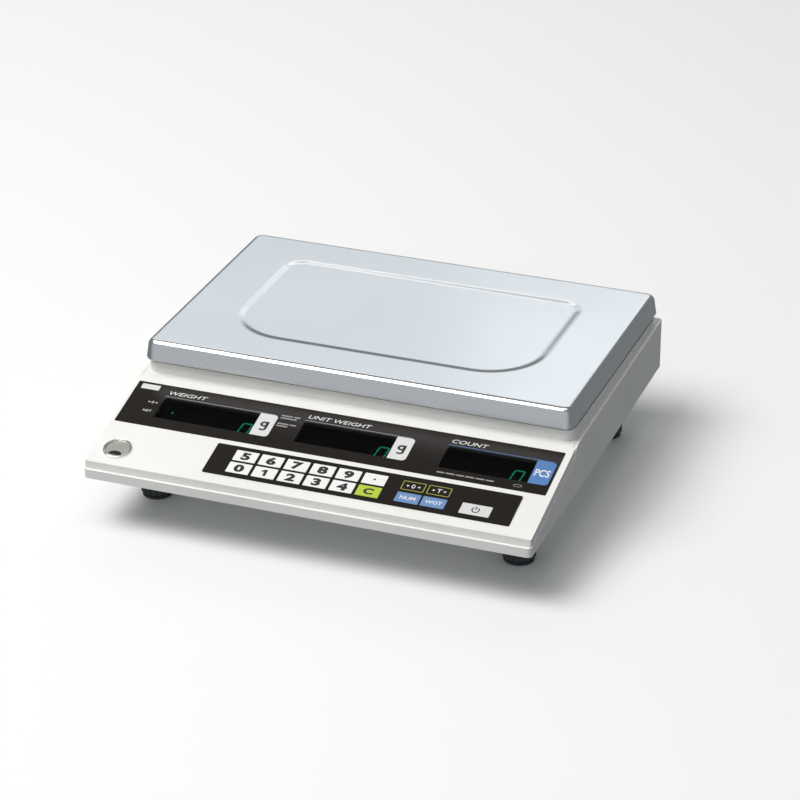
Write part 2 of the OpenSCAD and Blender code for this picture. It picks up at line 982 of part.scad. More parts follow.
module display_overlay() {
    color([0.13, 0.11, 0.1])
    on_panel()
        linear_extrude(height = display_film_thickness)
            difference() {
                translate(display_film_at)
                    rounded_rect(display_film_size[0], display_film_size[1], film_radius);
                film_window(window_weight_at, window_weight_size);
                film_window(window_unit_at, window_unit_size);
                film_window(window_count_at, window_count_size);
            }
}

// Opening in the keypad film for one key
module key_opening(at, size) {
    translate(at)
        square([size[0] + 2 * key_gap, size[1] + 2 * key_gap], center = true);
}

module keypad_overlay() {
    color([0.13, 0.11, 0.1])
    on_panel()
        linear_extrude(height = keypad_film_thickness)
            difference() {
                translate(keypad_film_at)
                    rounded_rect(keypad_film_size[0], keypad_film_size[1], film_radius);
                for (column = [0:5]) {
                    u = digit_left + column * key_pitch;
                    key_opening([u, upper_row], [key_width, key_height]);
                    key_opening([u, lower_row], [key_width, key_height]);
                }
                for (u = function_key_u) {
                    key_opening([u, function_upper_row], function_key_size);
                    key_opening([u, function_lower_row], function_key_size);
                }
                key_opening(power_key_at, power_key_size);
            }
}

module keypad_board() {
    color([0.1, 0.35, 0.2])
    on_panel()
        difference() {
            translate([keypad_board_at[0], keypad_board_at[1], keypad_board_top - board_thickness])
                rounded_slab(keypad_board_size[0], keypad_board_size[1], 2, board_thickness);
            for (at = keypad_screw_at) {
                translate([at[0], at[1], keypad_board_top - 5])
                    cylinder(d = board_hole, h = 10, $fn = fine_facets);
            }
        }
}

// Push switch body on the keypad board, bored for a key stem
module switch_body(at) {
    translate([at[0], at[1], keypad_board_top])
        difference() {
            translate([-switch_size / 2, -switch_size / 2, 0])
                cube([switch_size, switch_size, switch_height]);
            translate([0, 0, switch_height - switch_bore_depth])
                cylinder(d = stem_diameter + 2 * stem_clearance, h = 3, $fn = fine_facets);
        }
}

module tact_switches() {
    color([0.2, 0.2, 0.2])
    on_panel() {
        for (column = [0:5]) {
            switch_body([digit_left + column * key_pitch, upper_row]);
            switch_body([digit_left + column * key_pitch, lower_row]);
        }
        for (u = function_key_u) {
            switch_body([u, function_upper_row]);
            switch_body([u, function_lower_row]);
        }
        switch_body(power_key_at);
    }
}

module base_screws() {
    color([0.7, 0.7, 0.72]) {
        for (at = plate_screw_at) {
            translate([at[0], at[1], plate_top_z])
                pan_screw(m3_head, m3_head_height, m3_shank, 8);
        }
        for (at = main_screw_at) {
            translate([main_board_at[0] + at[0], main_board_at[1] + at[1], main_board_top])
                pan_screw(m3_head, m3_head_height, m3_shank, 5);
        }
    }
}

module cover_screws() {
    color([0.7, 0.7, 0.72])
    on_panel() {
        for (at = display_screw_at) {
            translate([at[0], at[1], display_board_top - board_thickness])
                rotate([180, 0, 0])
                    pan_screw(m3_head, m3_head_height, m3_shank, 6);
        }
        for (at = keypad_screw_at) {
            translate([at[0], at[1], keypad_board_top - board_thickness])
                rotate([180, 0, 0])
                    pan_screw(m3_head, m3_head_height, m3_shank, 5);
        }
    }
}

module level_ring() {
    color([0.85, 0.85, 0.85])
    on_panel()
        translate([level_at[0], level_at[1], 0])
            difference() {
                union() {
                    cylinder(d = level_diameter, h = level_rim, $fn = 48);
                    translate([0, 0, -level_depth])
                        cylinder(d = level_body, h = level_depth + 0.1, $fn = 48);
                }
                translate([0, 0, -level_depth + 1])
                    cylinder(d = vial_diameter + 0.2, h = 20, $fn = 48);
            }
}

module level_vial() {
    color([0.8, 0.85, 0.7])
    on_panel()
        translate([level_at[0], level_at[1], -level_depth + 1])
            cylinder(d = vial_diameter, h = level_depth + 0.2, $fn = 48);
}

module battery() {
    low = [battery_at[0] - battery_size[0] / 2, battery_at[1] - battery_size[1] / 2, belly_top];
    color([0.2, 0.2, 0.22]) {
        box(low, low + battery_size);
        for (x = [-terminal_x, terminal_x]) {
            translate([battery_at[0] + x - 2.4, low[1] + 6, low[2] + battery_size[2] - 0.1])
                cube([4.8, 0.8, 2.9]);
        }
    }
}

module battery_cover() {
    color([0.93, 0.93, 0.91])
    difference() {
        translate([battery_at[0], battery_at[1], belly_bottom]) {
            rounded_slab(
                battery_size[0] + 2 * (bay_gap + cover_flange),
                battery_size[1] + 2 * (bay_gap + cover_flange), 4, cover_thickness
            );
            translate([0, 0, cover_thickness - 0.1])
                rounded_slab(
                    battery_size[0] + 1, battery_size[1] + 1, 3,
                    belly_floor - cover_thickness + 0.1
                );
        }
        for (end = [-1, 1]) {
            translate([battery_at[0], battery_at[1] + end * bay_screw_offset, 0])
                pillar(bay_screw_hole, belly_bottom - 1, belly_top);
        }
        for (end = [-1, 1]) {
            translate([battery_at[0], battery_at[1] + end * finger_grip_offset, belly_bottom])
                cube([26, 3, 1.6], center = true);
        }
    }
}

module battery_cover_screws() {
    color([0.7, 0.7, 0.72])
    for (end = [-1, 1]) {
        translate([battery_at[0], battery_at[1] + end * bay_screw_offset, belly_bottom])
            rotate([180, 0, 0])
                pan_screw(m3_head, 1.6, m3_shank, 8);
    }
}

module dc_jack() {
    color([0.1, 0.1, 0.1]) {
        difference() {
            union() {
                box(
                    [jack_x - jack_width / 2, half_depth - wall - jack_length, jack_z - jack_height / 2],
                    [jack_x + jack_width / 2, half_depth - wall, jack_z + jack_height / 2]
                );
                translate([jack_x, half_depth, jack_z])
                    rotate([90, 0, 0])
                        cylinder(d = jack_barrel, h = 6, $fn = round_facets);
            }
            translate([jack_x, half_depth + 1, jack_z])
                rotate([90, 0, 0])
                    cylinder(d = jack_bore, h = 11.5, $fn = round_facets);
        }
        translate([jack_x, half_depth - 1, jack_z])
            rotate([90, 0, 0])
                cylinder(d = jack_pin, h = 12, $fn = fine_facets);
    }
}

module housing_screws() {
    color([0.7, 0.7, 0.72])
    for (at = housing_screw_at) {
        translate([at[0], at[1], at[2] - 3.5])
            rotate([180, 0, 0])
                pan_screw(housing_head, 2.4, housing_shank, 9);
    }
}

module foot_inserts() {
    color([0.8, 0.65, 0.3])
    for (at = foot_at) {
        translate([at[0], at[1], 0])
            difference() {
                pillar(insert_diameter, belly_top - 1, belly_top - 1 + insert_length, round_facets);
                pillar(stud_diameter + 2 * stud_clearance, 10, 50, round_facets);
            }
    }
}

// Straight length of the load cell cable, rising from the origin
module cable_run(length) {
    cylinder(d = cable_diameter, h = length, $fn = fine_facets);
}

// Quarter bend in the cable, from +Y round to -X
module cable_bend() {
    rotate([0, 0, 90])
        rotate_extrude(angle = 90, $fn = corner_facets)
            translate([cable_bend_radius, 0])
                circle(d = cable_diameter, $fn = fine_facets);
}

module load_cell_cable() {
    r = cable_bend_radius;
    color([0.2, 0.2, 0.2]) {
        translate([cable_x + r, cable_exit_y, cable_z])
            rotate([0, 90, 0])
                cable_run(-cell_length / 2 - cable_x - r);
        translate([cable_x + r, cable_exit_y - r, cable_z])
            cable_bend();
        translate([cable_x, cable_exit_y - r, cable_z])
            rotate([90, 0, 0])
                cable_run(cable_exit_y - 2 * r - cable_plug_y);
        translate([cable_x, cable_plug_y + r, cable_z - r])
            rotate([90, 0, 90])
                cable_bend();
        translate([cable_x, cable_plug_y, cable_plug_z])
            cable_run(cable_z - r - cable_plug_z);
    }
}

module display_ribbon() {
    half_ribbon = ribbon_width / 2;
    half_sheet = ribbon_thickness / 2;
    header_top = main_board_top + ribbon_header[2];
    color([0.75, 0.76, 0.78]) {
        box(
            [-half_ribbon, ribbon_y - half_sheet, ribbon_bend_z],
            [half_ribbon, ribbon_y + half_sheet, ribbon_top_z]
        );
        box(
            [-half_ribbon, ribbon_y - half_sheet, ribbon_bend_z],
            [half_ribbon, ribbon_header_y + half_sheet, ribbon_bend_z + ribbon_thickness]
        );
        box(
            [-half_ribbon, ribbon_header_y - half_sheet, header_top + 0.1],
            [half_ribbon, ribbon_header_y + half_sheet, ribbon_bend_z + 0.1]
        );
    }
}

// Key cap with a stem that reaches its switch
module key_cap(at, size) {
    on_panel()
        translate([at[0], at[1], 0]) {
            translate([0, 0, key_lift])
                rounded_slab(size[0], size[1], 0.6, key_thickness);
            translate([0, 0, stem_bottom])
                cylinder(d = stem_diameter, h = key_lift - stem_bottom + 0.1, $fn = fine_facets);
        }
}

// Digit key by column from the left
module digit_key(column, row) {
    key_cap([digit_left + column * key_pitch, row], [key_width, key_height]);
}

module key_0() {
    color([0.95, 0.95, 0.95]) digit_key(0, lower_row);
}

module key_1() {
    color([0.95, 0.95, 0.95]) digit_key(1, lower_row);
}

module key_2() {
    color([0.95, 0.95, 0.95]) digit_key(2, lower_row);
}

module key_3() {
    color([0.95, 0.95, 0.95]) digit_key(3, lower_row);
}

module key_4() {
    color([0.95, 0.95, 0.95]) digit_key(4, lower_row);
}

module key_5() {
    color([0.95, 0.95, 0.95]) digit_key(0, upper_row);
}

module key_6() {
    color([0.95, 0.95, 0.95]) digit_key(1, upper_row);
}

module key_7() {
    color([0.95, 0.95, 0.95]) digit_key(2, upper_row);
}

module key_8() {
    color([0.95, 0.95, 0.95]) digit_key(3, upper_row);
}

module key_9() {
    color([0.95, 0.95, 0.95]) digit_key(4, upper_row);
}

module key_point() {
    color([0.95, 0.95, 0.95]) digit_key(5, upper_row);
}

module key_clear() {
    color([0.72, 0.8, 0.25]) digit_key(5, lower_row);
}

module key_zero() {
    color([0.15, 0.14, 0.1]) key_cap([function_key_u[0], function_upper_row], function_key_size);
}

module key_tare() {
    color([0.15, 0.14, 0.1]) key_cap([function_key_u[1], function_upper_row], function_key_size);
}

module key_number() {
    color([0.4, 0.55, 0.75]) key_cap([function_key_u[0], function_lower_row], function_key_size);
}

module key_weight() {
    color([0.4, 0.55, 0.75]) key_cap([function_key_u[1], function_lower_row], function_key_size);
}

module key_power() {
    color([0.85, 0.85, 0.85]) key_cap(power_key_at, power_key_size);
}

// Rubber pad below one foot, with a socket for the levelling wheel
module foot_pad(at) {
    color([0.1, 0.1, 0.1])
    translate([at[0], at[1], 0])
        difference() {
            union() {
                pillar(pad_diameter, 0, 2, round_facets);
                pillar(pad_diameter - 3, 1.9, pad_height, round_facets);
            }
            pillar(ankle_diameter + 0.15, socket_floor_z, pad_height + 1);
        }
}

// Grooved levelling wheel with its screw and the ball end that enters the pad
module foot_wheel(at) {
    color([0.13, 0.14, 0.16])
    translate([at[0], at[1], 0])
        union() {
            difference() {
                pillar(wheel_diameter, wheel_bottom, wheel_bottom + wheel_height, 48);
                for (turn = [0:22.5:359]) {
                    rotate([0, 0, turn])
                        translate([wheel_diameter / 2 + 0.6, 0, 0])
                            pillar(wheel_notch, wheel_bottom - 1, wheel_bottom + wheel_height + 1, 16);
                }
            }
            pillar(ankle_diameter, 1.4, wheel_bottom + 0.1);
            pillar(stud_diameter, wheel_bottom + 0.1, stud_top_z, round_facets);
        }
}

module foot_pad_front_left() {
    foot_pad(foot_at[0]);
}

module foot_pad_front_right() {
    foot_pad(foot_at[1]);
}

module foot_pad_rear_left() {
    foot_pad(foot_at[2]);
}

module foot_pad_rear_right() {
    foot_pad(foot_at[3]);
}

module foot_wheel_front_left() {
    foot_wheel(foot_at[0]);
}

module foot_wheel_front_right() {
    foot_wheel(foot_at[1]);
}

module foot_wheel_rear_left() {
    foot_wheel(foot_at[2]);
}

module foot_wheel_rear_right() {
    foot_wheel(foot_at[3]);
}

base_housing();
top_cover();
chassis_plate();
load_cell();
cell_spacer();
cell_bolts_fixed();
cell_bolts_live();
platter_support();
support_cushions();
overload_stops();
platter();
main_board();
display_board();
display_weight();
display_unit();
display_count();
window_weight();
window_unit();
window_count();
display_overlay();
keypad_overlay();
keypad_board();
tact_switches();
base_screws();
cover_screws();
level_ring();
level_vial();
battery();
battery_cover();
battery_cover_screws();
dc_jack();
housing_screws();
foot_inserts();
load_cell_cable();
display_ribbon();
key_0();
key_1();
key_2();
key_3();
key_4();
key_5();
key_6();
key_7();
key_8();
key_9();
key_point();
key_clear();
key_zero();
key_tare();
key_number();
key_weight();
key_power();
foot_pad_front_left();
foot_pad_front_right();
foot_pad_rear_left();
foot_pad_rear_right();
foot_wheel_front_left();
foot_wheel_front_right();
foot_wheel_rear_left();
foot_wheel_rear_right();
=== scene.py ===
import json
import math

import bmesh
import bpy
from mathutils import Matrix, Vector


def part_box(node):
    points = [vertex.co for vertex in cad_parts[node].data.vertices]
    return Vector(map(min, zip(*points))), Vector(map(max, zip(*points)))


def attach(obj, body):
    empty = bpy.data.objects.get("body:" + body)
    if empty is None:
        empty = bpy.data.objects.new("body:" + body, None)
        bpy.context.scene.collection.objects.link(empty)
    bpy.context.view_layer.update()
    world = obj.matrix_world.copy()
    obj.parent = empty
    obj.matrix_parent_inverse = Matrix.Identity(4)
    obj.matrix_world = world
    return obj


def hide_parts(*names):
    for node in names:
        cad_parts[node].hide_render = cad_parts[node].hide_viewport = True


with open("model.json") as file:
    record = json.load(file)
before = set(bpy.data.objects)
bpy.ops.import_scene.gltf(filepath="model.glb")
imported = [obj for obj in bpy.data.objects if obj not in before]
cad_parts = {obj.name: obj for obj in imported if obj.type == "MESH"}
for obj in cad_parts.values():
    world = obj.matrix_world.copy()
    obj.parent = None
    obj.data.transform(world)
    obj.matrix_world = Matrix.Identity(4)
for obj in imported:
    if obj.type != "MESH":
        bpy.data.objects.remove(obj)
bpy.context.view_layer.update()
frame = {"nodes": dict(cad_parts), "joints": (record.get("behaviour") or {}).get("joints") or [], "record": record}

MM = 0.001
NODES = frame["nodes"]
KEYS = [n for n in NODES if n.startswith("key_")]

# The control panel's own axes: X across, Y up the slope, Z out of the panel
PRESS = next(j for j in frame["joints"] if j["name"] == "press_0")["axis"]
TILT = math.asin(PRESS[1])
PANEL = Matrix.Rotation(TILT, 4, "X")


def panel_box(node):
    """Lowest and highest corner of a CAD node in the control panel's own axes."""
    inverse = PANEL.inverted()
    points = [inverse @ v.co for v in NODES[node].data.vertices]
    low = Vector([min(p[i] for p in points) for i in range(3)])
    high = Vector([max(p[i] for p in points) for i in range(3)])
    return low, high


def middle(low, high):
    return (low + high) / 2


# ---------------------------------------------------------------- camera and light


CAMERA_PLACE = (0.7771, -2.03205, 1.14665)
CAMERA_ELEVATION, CAMERA_AZIMUTH = 26.577, 20.557
SENSOR_WIDTH, LENS_LENGTH = 36, 143.13


def make_camera():
    """A long lens about 2.4 m away, looking down from the front and a little to the right."""
    data = bpy.data.cameras.new("camera")
    data.sensor_width = SENSOR_WIDTH
    data.lens = LENS_LENGTH
    data.clip_start, data.clip_end = 0.05, 50
    camera = bpy.data.objects.new("camera", data)
    camera.location = CAMERA_PLACE
    camera.rotation_euler = (
        math.radians(90 - CAMERA_ELEVATION), 0, math.radians(CAMERA_AZIMUTH)
    )
    bpy.context.scene.collection.objects.link(camera)
    bpy.context.scene.camera = camera


def softbox(name, place, target, size, radiance, color=(1, 1, 1)):
    """Large diffusing panel; its power follows from its area and the radiance wanted."""
    data = bpy.data.lights.new(name, "AREA")
    data.shape = "RECTANGLE"
    data.size, data.size_y = size
    data.energy = radiance * math.pi * size[0] * size[1]
    data.color = color
    light = bpy.data.objects.new(name, data)
    light.location = place
    direction = Vector(target) - Vector(place)
    light.rotation_euler = direction.to_track_quat("-Z", "Y").to_euler()
    light.visible_camera = False
    bpy.context.scene.collection.objects.link(light)


# Brightness of the surroundings at the sides and back, and towards the front
ROOM_AROUND, ROOM_FRONT = 0.21, 0.52
FLOOR_HALF = 6


def fade_to_front(tree, background, around, front):
    """Brightens the surroundings towards the front, where the room is open."""
    place = tree.nodes.new("ShaderNodeTexCoord")
    split = tree.nodes.new("ShaderNodeSeparateXYZ")
    fade = tree.nodes.new("ShaderNodeMapRange")
    fade.inputs["From Min"].default_value = -0.35
    fade.inputs["From Max"].default_value = -0.85
    fade.inputs["To Min"].default_value = around
    fade.inputs["To Max"].default_value = front
    tree.links.new(place.outputs["Generated"], split.inputs["Vector"])
    tree.links.new(split.outputs["Y"], fade.inputs["Value"])
    tree.links.new(fade.outputs["Result"], background.inputs["Strength"])


def make_light():
    """High key from the left, an overhead panel, and panels that the steel reflects."""
    centre, top = (0, 0, 0.06), (0, 0.1, 0.1)
    warm, cool = (1.0, 0.985, 0.96), (0.90, 0.96, 1.0)
    softbox("key", (-1.5, -1.15, 3.3), centre, (2.6, 1.9), 7.5, warm)
    softbox("overhead", (0.1, -0.3, 3.6), centre, (2.2, 1.4), 1.6)
    softbox("back", (-1.2, 2.65, 1.47), top, (2.6, 0.85), 0.72, cool)
    softbox("back_strip", (-0.8, 2.16, 2.02), top, (2.6, 0.5), 1.2)
    softbox("corner_glow", (-0.45, 2.5, 1.5), (0.1, 0, 0.1), (0.7, 0.5), 0.26)
    world = bpy.data.worlds.new("studio")
    world.use_nodes = True
    background = world.node_tree.nodes["Background"]
    background.inputs["Color"].default_value = (0.93, 0.97, 1.0, 1)
    fade_to_front(world.node_tree, background, ROOM_AROUND, ROOM_FRONT)
    bpy.context.scene.world = world
    bpy.context.scene.view_settings.view_transform = "Standard"


def make_floor():
    """Pale floor that neither tints the scale nor shows in its steel."""
    mesh = bpy.data.meshes.new("floor")
    half = FLOOR_HALF
    corners = [(-half, -half, 0), (half, -half, 0), (half, half, 0), (-half, half, 0)]
    mesh.from_pydata(corners, [], [(0, 1, 2, 3)])
    floor = bpy.data.objects.new("floor", mesh)
    bpy.context.scene.collection.objects.link(floor)
    mesh.materials.append(finish("floor", (0.93, 0.93, 0.93), 0.75))
    floor.visible_diffuse = False
    floor.visible_glossy = False


# ---------------------------------------------------------------- materials


def finish(name, color, roughness, metallic=0.0, **sockets):
    """A principled material with plain values set on its own sockets."""
    made = bpy.data.materials.new(name)
    made.use_nodes = True
    shader = made.node_tree.nodes["Principled BSDF"]
    shader.inputs["Base Color"].default_value = (*color, 1)
    shader.inputs["Roughness"].default_value = roughness
    shader.inputs["Metallic"].default_value = metallic
    for socket, value in sockets.items():
        shader.inputs[socket.replace("_", " ")].default_value = value
    return made


def object_noise(made, scale, detail, stretch=(1, 1, 1)):
    """Noise fixed to the object, in cells of 1/scale metres, stretched along its axes."""
    tree = made.node_tree
    place = tree.nodes.new("ShaderNodeTexCoord")
    mapping = tree.nodes.new("ShaderNodeMapping")
    mapping.inputs["Scale"].default_value = stretch
    noise = tree.nodes.new("ShaderNodeTexNoise")
    noise.inputs["Scale"].default_value = scale
    noise.inputs["Detail"].default_value = detail
    tree.links.new(place.outputs["Object"], mapping.inputs["Vector"])
    tree.links.new(mapping.outputs["Vector"], noise.inputs["Vector"])
    return noise.outputs["Fac"]


def add_bump(made, height, depth, strength=1.0):
    tree = made.node_tree
    bump = tree.nodes.new("ShaderNodeBump")
    bump.inputs["Distance"].default_value = depth
    bump.inputs["Strength"].default_value = strength
    tree.links.new(height, bump.inputs["Height"])
    shader = tree.nodes["Principled BSDF"]
    tree.links.new(bump.outputs["Normal"], shader.inputs["Normal"])


def vary(made, source, socket, low, high, start=0.3, end=0.7):
    """Drives a socket between two values as the noise goes from start to end."""
    tree = made.node_tree
    ramp = tree.nodes.new("ShaderNodeMapRange")
    ramp.inputs["From Min"].default_value = start
    ramp.inputs["From Max"].default_value = end
    ramp.inputs["To Min"].default_value = low
    ramp.inputs["To Max"].default_value = high
    tree.links.new(source, ramp.inputs["Value"])
    shader = tree.nodes["Principled BSDF"]
    tree.links.new(ramp.outputs["Result"], shader.inputs[socket])


def tint(made, source, color_a, color_b):
    """Mottles the base colour between two colours."""
    tree = made.node_tree
    ramp = tree.nodes.new("ShaderNodeValToRGB")
    ramp.color_ramp.elements[0].position = 0.32
    ramp.color_ramp.elements[0].color = (*color_a, 1)
    ramp.color_ramp.elements[1].position = 0.68
    ramp.color_ramp.elements[1].color = (*color_b, 1)
    tree.links.new(source, ramp.inputs["Fac"])
    shader = tree.nodes["Principled BSDF"]
    tree.links.new(ramp.outputs["Color"], shader.inputs["Base Color"])


def shade(color, factor):
    return tuple(min(1, c * factor) for c in color)


def moulded(name, color, roughness=0.42, grain=0.00002):
    """Injection-moulded plastic: fine spark-eroded grain and faint flow marks."""
    made = finish(name, color, roughness)
    add_bump(made, object_noise(made, 1800, 3), grain, 0.6)
    cloud = object_noise(made, 22, 4)
    tint(made, cloud, shade(color, 0.97), shade(color, 1.02))
    vary(made, object_noise(made, 60, 3), "Roughness", roughness - 0.05, roughness + 0.06)
    return made


def printed(name, color, roughness=0.32, gloss=0.5):
    """Satin printed polyester film with a fine velvet texture."""
    made = finish(name, color, roughness, Specular_IOR_Level=gloss)
    add_bump(made, object_noise(made, 4200, 2), 0.000006, 0.5)
    tint(made, object_noise(made, 40, 3), shade(color, 0.985), shade(color, 1.015))
    vary(made, object_noise(made, 90, 2), "Roughness", roughness - 0.015, roughness + 0.02)
    return made


def metal(name, color, roughness, stretch=(1, 1, 1), scale=900, depth=0.000004):
    """Bare or plated metal with machining marks along one direction."""
    made = finish(name, color, roughness, 1.0)
    marks = object_noise(made, scale, 4, stretch)
    add_bump(made, marks, depth, 0.5)
    vary(made, marks, "Roughness", roughness - 0.06, roughness + 0.08)
    tint(made, object_noise(made, 30, 3), shade(color, 0.96), shade(color, 1.03))
    return made


def stainless():
    """Satin stainless steel: fine grain across the platter and faint handling marks."""
    color = (0.80, 0.815, 0.83)
    made = finish("stainless", color, 0.18, 1.0)
    grain = object_noise(made, 1500, 4, (0.3, 1, 1))
    add_bump(made, grain, 0.0000012, 0.5)
    vary(made, object_noise(made, 9, 4), "Roughness", 0.16, 0.21)
    tint(made, grain, shade(color, 0.965), shade(color, 1.02))
    return made


def smoked():
    """Smoked acrylic that lets the lit digits through."""
    made = finish(
        "smoked_window", (0.16, 0.16, 0.20), 0.05,
        Transmission_Weight=1.0, IOR=1.03, Coat_Weight=0.25, Coat_Roughness=0.05,
    )
    add_bump(made, object_noise(made, 300, 2), 0.000004, 0.3)
    vary(made, object_noise(made, 70, 3), "Roughness", 0.03, 0.09)
    return made


def lit_segment():
    color = (0.01, 0.30, 0.14)
    made = finish("segment_lit", color, 0.4, Emission_Strength=1.3)
    shader = made.node_tree.nodes["Principled BSDF"]
    shader.inputs["Emission Color"].default_value = (0.02, 0.9, 0.36, 1)
    tint(made, object_noise(made, 900, 2), shade(color, 0.8), shade(color, 1.1))
    return made


def clear_dome():
    made = finish("level_dome", (0.93, 0.95, 0.88), 0.03, Transmission_Weight=1.0, IOR=1.49)
    vary(made, object_noise(made, 200, 2), "Roughness", 0.02, 0.06)
    return made


def make_materials():
    film = (0.0112, 0.0080, 0.0062)
    return {
        "housing_ivory": moulded("housing_ivory", (0.86, 0.855, 0.825)),
        "stainless": stainless(),
        "steel_plate": metal("steel_plate", (0.5, 0.51, 0.52), 0.4),
        "alloy": metal("alloy", (0.66, 0.67, 0.68), 0.45),
        "black_screw": metal("black_screw", (0.05, 0.05, 0.055), 0.45),
        "zinc_screw": metal("zinc_screw", (0.62, 0.63, 0.65), 0.3),
        "brass_fitting": metal("brass_fitting", (0.72, 0.53, 0.22), 0.3),
        "level_frame": metal("level_frame", (0.83, 0.83, 0.80), 0.16),
        "rubber_black": moulded("rubber_black", (0.028, 0.028, 0.03), 0.75, 0.00006),
        "wheel_black": moulded("wheel_black", (0.022, 0.027, 0.032), 0.5, 0.00004),
        "switch_black": moulded("switch_black", (0.03, 0.03, 0.032), 0.45),
        "display_black": moulded("display_black", (0.003, 0.003, 0.006), 0.7),
        "battery_case": moulded("battery_case", (0.05, 0.05, 0.055), 0.5, 0.00004),
        "cable_sheath": moulded("cable_sheath", (0.05, 0.05, 0.055), 0.5),
        "circuit_board": moulded("circuit_board", (0.02, 0.15, 0.06), 0.3),
        "ribbon_grey": printed("ribbon_grey", (0.45, 0.46, 0.48)),
        "smoked_window": smoked(),
        "level_fluid": clear_dome(),
        "film_brown": printed("film_brown", film, 0.36, 0.16),
        "key_white": printed("key_white", (0.87, 0.87, 0.855), 0.4),
        "key_lime": printed("key_lime", (0.45, 0.60, 0.045), 0.4),
        "key_dark": printed("key_dark", film, 0.4, 0.16),
        "key_blue": printed("key_blue", (0.15, 0.27, 0.52), 0.4),
        "key_silver": printed("key_silver", (0.70, 0.70, 0.69), 0.4),
    }


INKS = {
    "ink_white": ((0.80, 0.80, 0.80), "key_white"),
    "ink_grey": ((0.33, 0.33, 0.33), "key_silver"),
    "ink_black": ((0.012, 0.012, 0.012), "film_brown"),
    "ink_blue": ((0.085, 0.215, 0.50), "key_blue"),
    "ink_lime": ((0.34, 0.37, 0.05), "key_lime"),
    "ink_green": ((0.02, 0.50, 0.13), "key_lime"),
    "ink_pale": ((0.72, 0.72, 0.71), "key_silver"),
}


# ---------------------------------------------------------------- shared mesh helpers


def piece(name, mesh, made, body, smooth=35):
    """Adds a finished mesh to the scene and rides it on a CAD body."""
    mesh.materials.clear()
    mesh.materials.append(made)
    thing = bpy.data.objects.new(name, mesh)
    bpy.context.scene.collection.objects.link(thing)
    shade_by_angle(mesh, smooth)
    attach(thing, body)
    return thing


def shade_by_angle(mesh, degrees):
    """Smooth faces, with a sharp edge wherever two meet at more than this angle."""
    shape = bmesh.new()
    shape.from_mesh(mesh)
    limit = math.radians(degrees)
    for face in shape.faces:
        face.smooth = True
    for edge in shape.edges:
        edge.smooth = len(edge.link_faces) == 2 and edge.calc_face_angle(0) < limit
    shape.to_mesh(mesh)
    shape.free()


def round_edges(thing, width, segments=3, angle=30):
    """Real bevels on a piece, or on a CAD node by modifiers alone."""
    weld = thing.modifiers.new("weld", "WELD")
    weld.merge_threshold = 0.00001
    bevel = thing.modifiers.new("bevel", "BEVEL")
    bevel.width = width
    bevel.segments = segments
    bevel.limit_method = "ANGLE"
    bevel.angle_limit = math.radians(angle)
    bevel.use_clamp_overlap = True
    bevel.harden_normals = False
    normals = thing.modifiers.new("normals", "WEIGHTED_NORMAL")
    normals.keep_sharp = False
    normals.weight = 90


def arc(centre, radius, start, end, steps):
    """Points on an arc, angles in degrees."""
    points = []
    for i in range(steps + 1):
        a = math.radians(start + (end - start) * i / steps)
        points.append((centre[0] + radius * math.cos(a), centre[1] + radius * math.sin(a)))
    return points


def rounded_loop(low, high, radii, steps=8):
    """Outline of a rectangle with round corners; radii are for the front and the rear pair."""
    front, rear = radii
    return (
        arc((high[0] - rear, high[1] - rear), rear, 0, 90, steps)
        + arc((low[0] + rear, high[1] - rear), rear, 90, 180, steps)
        + arc((low[0] + front, low[1] + front), front, 180, 270, steps)
        + arc((high[0] - front, low[1] + front), front, 270, 360, steps)
    )


def loft(loops, close_start=False, close_end=False):
    """Mesh through loops of points that all have the same count."""
    shape = bmesh.new()
    rings = [[shape.verts.new(p) for p in loop] for loop in loops]
    count = len(rings[0])
    for a, b in zip(rings, rings[1:]):
        for i in range(count):
            j = (i + 1) % count
            shape.faces.new((a[i], a[j], b[j], b[i]))
    if close_start:
        shape.faces.new(list(reversed(rings[0])))
    if close_end:
        shape.faces.new(rings[-1])
    mesh = bpy.data.meshes.new("loft")
    shape.to_mesh(mesh)
    shape.free()
    return mesh


def flat_plate(outline, low, high, edge=0.0):
    """Closed plate over an outline, its top edge rounded off a little."""
    cx = sum(p[0] for p in outline) / len(outline)
    cy = sum(p[1] for p in outline) / len(outline)
    span = max(abs(p[0] - cx) for p in outline)
    rise = max(abs(p[1] - cy) for p in outline)
    inner = [
        (cx + (x - cx) * (1 - edge / span), cy + (y - cy) * (1 - edge / rise)) for x, y in outline
    ]
    loops = [
        [(x, y, low) for x, y in outline],
        [(x, y, high - edge) for x, y in outline],
        [(x, y, high) for x, y in inner],
    ]
    return loft(loops, True, True)


def ring_plate(outer, inner, low, high):
    """Closed plate between two outlines with the same count of points."""
    loops = [
        [(x, y, low) for x, y in inner],
        [(x, y, low) for x, y in outer],
        [(x, y, high) for x, y in outer],
        [(x, y, high) for x, y in inner],
        [(x, y, low) for x, y in inner],
    ]
    mesh = loft(loops)
    shape = bmesh.new()
    shape.from_mesh(mesh)
    bmesh.ops.remove_doubles(shape, verts=shape.verts, dist=1e-7)
    shape.to_mesh(mesh)
    shape.free()
    return mesh


